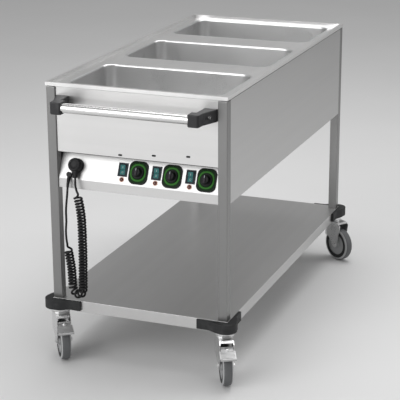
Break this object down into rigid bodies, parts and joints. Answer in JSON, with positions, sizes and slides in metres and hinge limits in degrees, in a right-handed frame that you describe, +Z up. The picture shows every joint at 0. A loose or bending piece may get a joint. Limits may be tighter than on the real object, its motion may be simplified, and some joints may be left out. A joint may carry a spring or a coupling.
{
  "type": "food warming trolley",
  "caption": "Stainless food-warming trolley with sunken pan wells, a sloping control panel, push handle, open lower shelf and swivel castors.",
  "frame": {"origin": "on the floor, under the middle of the cabinet's deck", "axes": "+Z up; +Y from the control panel end to the rear end; +X to the right as seen from the control panel"},
  "size_m": [0.7012, 1.357, 0.912],
  "materials": {
    "stainless": "brushed stainless sheet",
    "drawn_stainless": "deep drawn, satin",
    "polished_tube": "polished tube",
    "heater_alloy": "mill",
    "zinc_steel": "zinc plated steel",
    "hub_plastic": "moulded, light grey",
    "grey_tread": "grey rubber tread",
    "bumper_grey": "moulded, dark grey",
    "bracket_black": "moulded, black",
    "control_black": "moulded, black",
    "rocker_green": "gloss, green",
    "lamp_amber": "gloss, amber red",
    "trim_dark": "moulded, dark",
    "plug_black": "moulded, black",
    "cord_black": "rubber sheath, black"
  },
  "bodies": {
    "frame": {"top_deck": "stainless", "well_front": "drawn_stainless", "well_middle": "drawn_stainless", "well_rear": "drawn_stainless", "heater_plates": "heater_alloy", "side_panel_left": "stainless", "side_panel_right": "stainless", "front_panel": "stainless", "rear_panel": "stainless", "control_panel": "stainless", "bottom_cover": "stainless", "leg_front_left": "stainless", "leg_front_right": "stainless", "leg_rear_left": "stainless", "leg_rear_right": "stainless", "lower_shelf": "stainless", "bumper_front_left": "bumper_grey", "bumper_front_right": "bumper_grey", "bumper_rear_left": "bumper_grey", "bumper_rear_right": "bumper_grey", "handle_bar": "polished_tube", "handle_bracket_left": "bracket_black", "handle_bracket_right": "bracket_black", "handle_screws": "polished_tube", "thermostats": "control_black", "knob_bezels": "control_black", "switch_housings": "control_black", "pilot_lamps": "lamp_amber", "panel_plugs": "trim_dark", "plug_holder": "plug_black", "plug": "plug_black", "cable_gland": "plug_black", "cord_lead": "cord_black", "cord_coil": "cord_black", "cord_tail": "cord_black", "castor_stems": "zinc_steel"},
    "castor_front_left": {"fork_front_left": "zinc_steel", "axle_front_left": "zinc_steel"},
    "wheel_front_left": {"hub_front_left": "hub_plastic", "tyre_front_left": "grey_tread"},
    "pedal_front_left": {"brake_pedal_front_left": "zinc_steel"},
    "castor_front_right": {"fork_front_right": "zinc_steel", "axle_front_right": "zinc_steel"},
    "wheel_front_right": {"hub_front_right": "hub_plastic", "tyre_front_right": "grey_tread"},
    "pedal_front_right": {"brake_pedal_front_right": "zinc_steel"},
    "castor_rear_left": {"fork_rear_left": "zinc_steel", "axle_rear_left": "zinc_steel"},
    "wheel_rear_left": {"hub_rear_left": "hub_plastic", "tyre_rear_left": "grey_tread"},
    "castor_rear_right": {"fork_rear_right": "zinc_steel", "axle_rear_right": "zinc_steel"},
    "wheel_rear_right": {"hub_rear_right": "hub_plastic", "tyre_rear_right": "grey_tread"},
    "knob_left": {"knob_left": "control_black"},
    "knob_middle": {"knob_middle": "control_black"},
    "knob_right": {"knob_right": "control_black"},
    "rocker_left": {"rocker_left": "rocker_green"},
    "rocker_middle": {"rocker_middle": "rocker_green"},
    "rocker_right": {"rocker_right": "rocker_green"}
  },
  "joints": [
    {"name": "swivel_front_left", "type": "hinge", "parent": "frame", "child": "castor_front_left", "pos_m": [-0.283, -0.603, 0.15], "axis": [0, 0, 1], "continuous": true},
    {"name": "spin_front_left", "type": "hinge", "parent": "castor_front_left", "child": "wheel_front_left", "pos_m": [-0.26066, -0.63374, 0.0625], "axis": [0.809, 0.5878, 0], "continuous": true},
    {"name": "brake_front_left", "type": "hinge", "parent": "castor_front_left", "child": "pedal_front_left", "pos_m": [-0.25008, -0.64831, 0.1295], "axis": [0.809, 0.5878, 0], "range_deg": [0, 8]},
    {"name": "swivel_front_right", "type": "hinge", "parent": "frame", "child": "castor_front_right", "pos_m": [0.283, -0.603, 0.15], "axis": [0, 0, 1], "continuous": true},
    {"name": "spin_front_right", "type": "hinge", "parent": "castor_front_right", "child": "wheel_front_right", "pos_m": [0.30084, -0.63655, 0.0625], "axis": [0.8829, 0.4695, 0], "continuous": true},
    {"name": "brake_front_right", "type": "hinge", "parent": "castor_front_right", "child": "pedal_front_right", "pos_m": [0.30929, -0.65245, 0.1295], "axis": [0.8829, 0.4695, 0], "range_deg": [0, 8]},
    {"name": "swivel_rear_left", "type": "hinge", "parent": "frame", "child": "castor_rear_left", "pos_m": [-0.283, 0.603, 0.15], "axis": [0, 0, 1], "continuous": true},
    {"name": "spin_rear_left", "type": "hinge", "parent": "castor_rear_left", "child": "wheel_rear_left", "pos_m": [-0.26876, 0.56777, 0.0625], "axis": [0.9272, 0.3746, 0], "continuous": true},
    {"name": "swivel_rear_right", "type": "hinge", "parent": "frame", "child": "castor_rear_right", "pos_m": [0.283, 0.603, 0.15], "axis": [0, 0, 1], "continuous": true},
    {"name": "spin_rear_right", "type": "hinge", "parent": "castor_rear_right", "child": "wheel_rear_right", "pos_m": [0.31523, 0.58286, 0.0625], "axis": [0.5299, 0.848, 0], "continuous": true},
    {"name": "turn_left", "type": "hinge", "parent": "frame", "child": "knob_left", "pos_m": [-0.0015, -0.59527, 0.64252], "axis": [0, -0.9041, 0.4274], "range_deg": [-270, 0]},
    {"name": "turn_middle", "type": "hinge", "parent": "frame", "child": "knob_middle", "pos_m": [0.111, -0.59527, 0.64252], "axis": [0, -0.9041, 0.4274], "range_deg": [-270, 0]},
    {"name": "turn_right", "type": "hinge", "parent": "frame", "child": "knob_right", "pos_m": [0.2235, -0.59527, 0.64252], "axis": [0, -0.9041, 0.4274], "range_deg": [-270, 0]},
    {"name": "switch_left", "type": "hinge", "parent": "frame", "child": "rocker_left", "pos_m": [-0.054, -0.59313, 0.64704], "axis": [1, 0, 0], "range_deg": [-16, 0]},
    {"name": "switch_middle", "type": "hinge", "parent": "frame", "child": "rocker_middle", "pos_m": [0.0585, -0.59313, 0.64704], "axis": [1, 0, 0], "range_deg": [-16, 0]},
    {"name": "switch_right", "type": "hinge", "parent": "frame", "child": "rocker_right", "pos_m": [0.171, -0.59313, 0.64704], "axis": [1, 0, 0], "range_deg": [-16, 0]}
  ]
}
